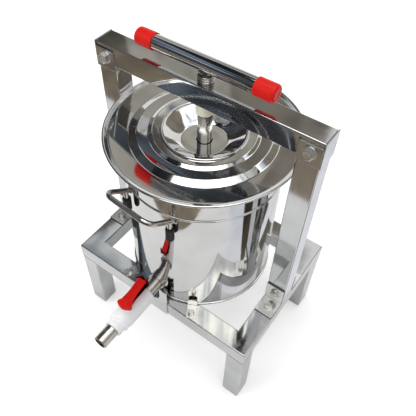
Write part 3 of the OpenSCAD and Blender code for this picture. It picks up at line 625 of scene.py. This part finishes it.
def grip(side, name):
    """A wire grip that slants up and out from its two roots, with a stub down and a weld ring at each."""
    reach, rise, stub_l, stub_rise = 54*MM, 39*MM, 46*MM, 8.3*MM
    turn = spun(side*90 + GRIP_TURN)
    slope = math.degrees(math.atan2(rise, reach))
    arch = bent_wire(math.hypot(reach, rise), 18*MM, 7*MM)
    parts = [place(arch, turn @ shift(ROOT_R, 0, ROOT_Z) @ spun(-slope, "Y"))]
    for y in (-GRIP_W/2, GRIP_W/2):
        stub = turned([(0, -stub_l), (WIRE_R, -stub_l), (WIRE_R, 0)] + arc(0, 0, WIRE_R, 0, 90, 6)[1:], 24,
                      closed=False)
        parts.append(place(stub, turn @ shift(STUB_X, y, ROOT_Z + stub_rise)))
        weld = turned([(WIRE_R, -2*MM), (WIRE_R + 2.2*MM, -1.2*MM), (WIRE_R + 2.6*MM, 0),
                       (WIRE_R + 1.6*MM, 1.2*MM), (WIRE_R, 2.4*MM)], 24)
        parts.append(place(weld, turn @ shift(ROOT_R + 1*MM, y, ROOT_Z + 0.5*MM) @ spun(90, "Y")))
    deliver(joined(parts), "grip_" + name + "_bent", wire, "frame", ("grip_" + name,))


def grip_sleeves():
    """Rubber sleeves on the grips' stubs, ribbed and closed with a round end."""
    top, length, radius = 448.5*MM, 32*MM, 7.5*MM
    rib, groove = 3.395*MM, 0.8*MM
    line = arc(0, radius, radius, -90, -10, 8)
    for i in range(7):
        base = radius + 0.4*MM + i*rib
        line += [(radius, base + 0.3*MM), (radius, base + 1.7*MM), (radius - groove, base + 2.1*MM),
                 (radius - groove, base + 2.8*MM)]
    line += [(radius - groove/2, length), (WIRE_R, length), (WIRE_R, length - 4*MM), (0, length - 4*MM)]
    places = [spun(side*90 + GRIP_TURN) @ shift(STUB_X, end*GRIP_W/2, top - length)
              for side in (-1, 1) for end in (-1, 1)]
    sleeves = repeated(turned(line, 40, closed=False), places)
    deliver(sleeves, "grip_sleeves_ribbed", black, "frame", ("grip_sleeves",))


lid()
barrel()
grip(-1, "front")
grip(1, "rear")
grip_sleeves()


# Handle caps


def handle_cap(side, name):
    """A cap dipped over the bar's end, its outer end rounded and a little dished."""
    radius, length, corner, skin, fit = 14.1*MM, 34*MM, 5*MM, 1.8*MM, 0.1*MM
    reach, middle = 125*MM, -5*MM
    line = [(BAR_R + fit, 0), (radius - 0.5*MM, 0), (radius, 0.6*MM), (radius, length - 6*MM)]
    line += arc(radius - corner, length - corner, corner, 0, 80, 8)
    line += [(6*MM, length - 0.1*MM), (5*MM, length - 0.5*MM), (0, length - 0.6*MM)]
    line += [(0, length - skin), (BAR_R + fit, length - skin)]
    cap = turned(line, 48)
    place(cap, shift(middle, 0, BAR_Z) @ spun(side*90, "Y") @ shift(0, 0, reach - length))
    deliver(cap, "handle_cap_" + name + "_dipped", red, "spindle", ("handle_cap_" + name,))


handle_cap(-1, "left")
handle_cap(1, "right")


# Outlet and valve


def valve_lever():
    """The lever: a flat bar that flares to a rounded head over the pivot, with a plug over its screw."""
    flare, half, length, thick, corner = 15*MM, 9*MM, 53*MM, 9*MM, 5*MM
    tip_round, plug_r, rounding = 2*MM, 4.6*MM, 0.6*MM
    side = [(0, -flare + 1.2*MM), (flare*0.42, -flare + 2.3*MM)]
    side += arc(flare - corner, -flare*0.35, corner, -50, 35, 8)
    side += [(half + (flare - half)*0.42*(1 - t)**2, (1 + 30*t)*MM) for t in (0, 0.2, 0.4, 0.6, 0.8, 1)]
    side += arc(half - tip_round, length - tip_round, tip_round, 0, 90, 4)
    outline = side + [(-x, y) for x, y in reversed(side[1:])]
    bar = cut_out([(x, y, 0) for x, y in outline], (0, 0, thick))
    break_edges(bar, 1.8*MM, 4, 40)
    pick(bar, "FACE", lambda f: f.normal.z > 0.99 and f.calc_center_median().z > thick*0.9)
    bpy.ops.mesh.inset(thickness=1.2*MM, depth=0)
    bpy.ops.mesh.inset(thickness=0.9*MM, depth=-0.8*MM)
    bpy.ops.object.mode_set(mode="OBJECT")
    rounded = arc(plug_r - rounding, thick - rounding, rounding, 0, 90, 3)
    plug = turned([(0, thick - 1*MM), (plug_r, thick - 1*MM)] + rounded + [(0, thick)], 32, closed=False)
    lever = place(joined([bar, plug]), shift(0, PIVOT_Y, 284.7*MM) @ spun(6.5))
    deliver(lever, "valve_lever_moulded", red, "valve_lever", ("valve_lever", "lever_screw"))


def valve_body():
    """A stout moulding with a shoulder, a neck with a ring at its end, and the stem's boss on top."""
    radius, bore, rounding, body_l = 20.7*MM, 13*MM, 1.5*MM, 78*MM
    neck_r, full_l = 17*MM, 93*MM
    line = [(bore, 0), (radius - 2*MM, 0)] + arc(radius - rounding, rounding, rounding, -90, 0, 4)
    line += [(radius, 3*MM), (radius, body_l - 12*MM), (radius - 0.1*MM, body_l - 11*MM),
             (radius - 0.6*MM, body_l - 10.4*MM), (radius - 0.6*MM, body_l - 3*MM)]
    line += arc(radius - 0.6*MM - rounding, body_l - rounding, rounding, 0, 90, 4)
    line += [(neck_r - 0.2*MM, body_l), (neck_r - 1*MM, body_l + 0.8*MM), (neck_r - 1.1*MM, body_l + 5*MM),
             (neck_r - 0.3*MM, body_l + 6*MM), (neck_r, body_l + 6.6*MM), (neck_r, full_l - 1.4*MM)]
    line += arc(neck_r - 1.4*MM, full_l - 1.4*MM, 1.4*MM, 0, 90, 4) + [(bore, full_l)]
    body = place(turned(line, 72), shift(0, VALVE_Y, OUTLET_Z) @ FACING)
    boss = turned([(0, 0), (12.6*MM, 0), (11.4*MM, 19*MM), (10.5*MM, 21.5*MM)]
                  + arc(9.5*MM, 28.7*MM, 1*MM, 0, 90, 4) + [(0, 29.7*MM)], 48, closed=False)
    place(boss, shift(0, PIVOT_Y, OUTLET_Z))
    deliver(joined([body, boss]), "valve_body_moulded", white, "frame", ("valve_body",),
            smooth=40)


def pipe_stub():
    """The pipe from the barrel to the valve, which looks like one plain tube."""
    radius, bore, length, chamfer = 14.6*MM, 12.7*MM, 30*MM, 0.4*MM
    stub = turned([(bore, 0), (radius - chamfer, 0), (radius, chamfer), (radius, length - chamfer),
                   (radius - chamfer, length), (bore, length)], 64)
    place(stub, shift(0, VALVE_Y + length, OUTLET_Z) @ FACING)
    deliver(stub, "pipe_sleeve_turned", pipe_steel, "frame", ("pipe_coupling", "pipe_nut"),
            smooth=40)


def outlet_tube():
    """The outlet tube: its root goes into the valve, and its end is turned to a blunt rim."""
    radius, root_r, bore, length, end_y = 13.35*MM, 12.7*MM, 10.4*MM, 48*MM, -305*MM
    tube = turned([(bore, 0), (root_r, 0), (root_r, 15*MM), (radius, 17*MM), (radius, length - 0.8*MM),
                   (radius - 0.8*MM, length), (bore + 0.5*MM, length), (bore, length - 0.5*MM)], 72)
    place(tube, shift(0, end_y + length, OUTLET_Z) @ FACING)
    deliver(tube, "outlet_tube_turned", pipe_steel, "frame", ("outlet_tube",), smooth=40)


valve_lever()
valve_body()
pipe_stub()
outlet_tube()


# Screw and nut


def spindle():
    """The screw, its smooth shank and foot flange, and the weld ring that holds the handle bar."""
    foot_z, thread_z, thread_top, weld_z, bar_under = 271.5*MM, 394*MM, 644*MM, 646*MM, BAR_Z - 8*MM
    shank_r, root_r, foot_r, foot_l, chamfer = 8.8*MM, SCREW_R - 1.9*MM, 14*MM, 5*MM, 0.4*MM
    # One turn of the thread's flank is drawn, and the screw modifier winds it up the spindle
    flank = [(root_r, 0), (root_r, 0.7*MM), (SCREW_R - 0.2*MM, 1.55*MM), (SCREW_R, 1.75*MM),
             (SCREW_R, 3.35*MM), (SCREW_R - 0.2*MM, 3.55*MM), (root_r, 4.4*MM), (root_r, PITCH)]
    draw([(r, 0, thread_z + z) for r, z in flank])
    thread = modify(settle(bpy.context.object), "SCREW", angle=2*math.pi, screw_offset=PITCH,
                    iterations=round((thread_top - thread_z)/PITCH) - 1, steps=32, render_steps=32,
                    use_merge_vertices=True, merge_threshold=0.01*MM, use_normal_calculate=True)
    foot = [(0, foot_z), (foot_r - chamfer, foot_z), (foot_r, foot_z + chamfer),
            (foot_r, foot_z + foot_l - chamfer), (foot_r - chamfer, foot_z + foot_l)]
    shank = [(shank_r, foot_z + foot_l), (shank_r, thread_z - 2*MM), (root_r - 0.1*MM, thread_z),
             (root_r - 0.1*MM, thread_top - 3*MM), (SCREW_R - 0.3*MM, thread_top),
             (SCREW_R, thread_top + 0.5*MM), (SCREW_R, bar_under), (0, bar_under)]
    core = turned(foot + shank, 48, closed=False)
    weld = turned([(SCREW_R - 1*MM, weld_z), (SCREW_R + 0.9*MM, weld_z + 0.3*MM),
                   (SCREW_R + 2.2*MM, weld_z + 2.2*MM), (SCREW_R + 1.6*MM, weld_z + 5*MM),
                   (SCREW_R - 1*MM, weld_z + 6*MM)], 48)
    deliver(joined([core, thread, weld]), "spindle_threaded", turned_steel, "spindle",
            ("spindle",), smooth=40)


def spindle_nut():
    """The nut through the beam: above it, it is turned with three broad rings, and its bore is chamfered."""
    radius, top, ring, ring_r, fit = 13.5*MM, 644*MM, 4*MM, 1.6*MM, 0.05*MM
    neck_r = radius - 1.3*MM
    line = [(SCREW_R + fit, BEAM_Z), (radius, BEAM_Z), (radius, BEAM_TOP - 0.5*MM)]
    for i in range(3):
        base = BEAM_TOP + i*ring
        line += [(neck_r, base + 0.2*MM), (neck_r, base + 0.7*MM)]
        line += arc(radius - ring_r, base + 2.3*MM, ring_r, -70, 70, 6)
    line += [(radius - ring_r, top), (SCREW_R + 1*MM, top), (SCREW_R + fit, top - 1*MM)]
    deliver(turned(line, 64), "spindle_nut_ringed", turned_steel, "frame", ("spindle_nut",),
            smooth=40)


spindle()
spindle_nut()


# Camera

camera_data = bpy.data.cameras.new("photo_view")
camera_data.sensor_width = 36.0
camera_data.lens = 43.74
camera_data.shift_x, camera_data.shift_y = 0.0385, -0.012
camera = bpy.data.objects.new("photo_view", camera_data)
scene.collection.objects.link(camera)
CAMERA_SPOT, CAMERA_AIM, CAMERA_ROLL = Vector((0.358, -0.5175, 1.0922)), Vector((-0.0255, 0.0, 0.3286)), 0.2
camera.location = CAMERA_SPOT
facing_aim = (CAMERA_AIM - CAMERA_SPOT).to_track_quat("-Z", "Y").to_matrix().to_4x4()
camera.rotation_euler = (facing_aim @ spun(CAMERA_ROLL)).to_euler()
scene.camera = camera


# Light and floor

# White for the camera and for what steel mirrors, and a softer white as light on the object
world = bpy.data.worlds.new("studio")
scene.world = world
world.use_nodes = True
rays = add(world, "ShaderNodeLightPath")
direct, mirrored = rays.outputs["Is Camera Ray"], rays.outputs["Is Glossy Ray"]
either = add(world, "ShaderNodeMath", {0: direct, 1: mirrored}, operation="MAXIMUM")
seen = add(world, "ShaderNodeMath", {0: either.outputs[0], 1: rays.outputs["Is Transmission Ray"]},
           operation="MAXIMUM")
level = add(world, "ShaderNodeMapRange", {"Value": seen.outputs[0], "To Min": 0.70, "To Max": 1.0})
sky = world.node_tree.nodes["Background"]
sky.inputs["Color"].default_value = linear("#ffffff")
link(world, level.outputs[0], sky.inputs["Strength"])


MIDDLE = Vector((0, 0, 0.3))


def lamp(name, spot, size, power, mirrored):
    """A large soft white lamp that points at the press. Polished steel shows it only if it is mirrored."""
    data = bpy.data.lights.new(name, "AREA")
    data.size = size
    data.energy = power
    piece = bpy.data.objects.new(name, data)
    scene.collection.objects.link(piece)
    piece.location = spot
    piece.rotation_euler = (MIDDLE - Vector(spot)).to_track_quat("-Z", "Y").to_euler()
    piece.visible_glossy = mirrored


lamp("soft_overhead", (0, 0.1, 3.2), 1.7, 28, True)
lamp("soft_left", (-1.3, -1.7, 1.9), 1.6, 20, False)

# The camera sees the floor as white paper, with the press's shadow kept
alone()
bpy.ops.mesh.primitive_plane_add(size=12, location=(0, 0, 0))
floor = bpy.context.object
floor.name = "pale_floor"
paint, shader, _ = finish_of("pale_floor_paint", Roughness=0.9, Emission_Color=linear("#ffffff"))
shader.inputs["Base Color"].default_value = linear("#f2f2f2")
floor_rays = add(paint, "ShaderNodeLightPath")
lift = add(paint, "ShaderNodeMath", {0: floor_rays.outputs["Is Camera Ray"], 1: 0.30}, operation="MULTIPLY")
link(paint, lift.outputs[0], shader.inputs["Emission Strength"])
floor.data.materials.append(paint)


# Panels that polished steel mirrors


def on_wall(turn, height, radius=2.6):
    """Spreads a panel on a wide round wall about the press, between angles of turn and of height."""
    def point(u, v):
        round_z = turn[0] + (turn[1] - turn[0])*u
        up = height[0] + (height[1] - height[0])*v
        return MIDDLE + spun(round_z) @ spun(-up, "Y") @ Vector((radius, 0, 0))
    return point


def on_floor(low, high, lift=0.002):
    """Spreads a panel just above the floor between two corners."""
    def point(u, v):
        return Vector((low[0] + (high[0] - low[0])*u, low[1] + (high[1] - low[1])*v, lift))
    return point


def panel(name, light, dark, spread, power=1.0, cloud=333.3):
    """A matt panel, clouded from light to dark, that only polished steel shows. The spread turns its grid
    into places, and the cloud is the length of one cloud in millimetres."""
    alone()
    bpy.ops.mesh.primitive_grid_add(x_subdivisions=8, y_subdivisions=8, size=1)
    piece = bpy.context.object
    piece.name = name
    for vertex in piece.data.vertices:
        vertex.co = spread(vertex.co.x + 0.5, vertex.co.y + 0.5)
    matt, shader, where = finish_of(name + "_matt", Roughness=1.0, Base_Color=linear("#000000"),
                                    Specular_IOR_Level=0.0, Emission_Strength=power)
    clouds = add(matt, "ShaderNodeTexNoise", {"Vector": where, "Scale": per(cloud), "Detail": 3.0,
                                              "Distortion": 1.2})
    edge = add(matt, "ShaderNodeMapRange", {"Value": clouds.outputs["Fac"], "From Min": 0.42,
                                            "From Max": 0.60})
    tone = add(matt, "ShaderNodeMix", {"Factor": edge.outputs[0], "A": linear(light), "B": linear(dark)},
               data_type="RGBA")
    link(matt, tone.outputs["Result"], shader.inputs["Emission Color"])
    piece.data.materials.append(matt)
    piece.visible_camera = piece.visible_diffuse = piece.visible_shadow = piece.visible_transmission = False


# Brown below and in front, dark at the left and in front with a bluish gap between, pale and cloudy high up
# behind, and warm grey at the right. Angles go round from X towards Y, in degrees. Near panels come first.
NEAR = 2.5
for name, light, dark, spread in (
        ("floor_brown", "#928676", "#7a6e60", on_floor((-3.0, -3.5), (3.0, -0.46))),
        ("floor_pale", "#f2f3f9", "#e4e7f0", on_floor((0.25, -0.2), (1.3, 0.7))),
        ("floor_strip", "#564d43", "#39332d", on_floor((0.34, -0.01), (0.96, 0.32), 0.004)),
        ("high_dark", "#2b2d31", "#1f2124", on_wall((132, 236), (60, 72.5), NEAR)),
        ("left_pale_patch", "#e6e9ea", "#8b949c", on_wall((134, 160), (48, 57), NEAR)),
        ("rear_high_pale", "#f1ede2", "#707a89", on_wall((96, 134), (50, 72.5), NEAR)),
        ("front_blue", "#a9b8cb", "#8c9bb0", on_wall((-131, -117), (30, 41.5), NEAR)),
        ("left_high_blue", "#8996a4", "#6a7684", on_wall((-170, -127), (45.5, 60), NEAR)),
        ("front_left_dark", "#505358", "#3e4045", on_wall((-190, -112), (0, 62))),
        ("front_grey", "#66656a", "#555456", on_wall((-112, -22), (20, 38))),
        ("front_low_dark", "#303133", "#262729", on_wall((-112, -40), (-8, 20))),
        ("right_warm", "#b0aba3", "#938e87", on_wall((-22, 35), (8, 42))),
        ("rear_right_warm", "#918a7d", "#787166", on_wall((35, 80), (26, 62))),
        ("rear_warm", "#908a80", "#777168", on_wall((100, 120), (28, 70))),
        ("rear_left_pale", "#bdb9b0", "#9d998f", on_wall((120, 138), (28, 50))),
        ("rear_left_high", "#8f897e", "#79736a", on_wall((120, 138), (50, 68))),
        ("left_brown", "#6a645c", "#524d47", on_wall((138, 158), (28, 70))),
        ("left_dark", "#423f3a", "#322f2c", on_wall((158, 172), (8, 70)))):
    panel(name, light, dark, spread)
# The rails' tops show this one by way of the barrel's wall, which takes half of its light
panel("right_high_pale", "#efece4", "#6f7b8b", on_wall((-75, 88), (52, 72.5), NEAR), 2.8, 714.3)
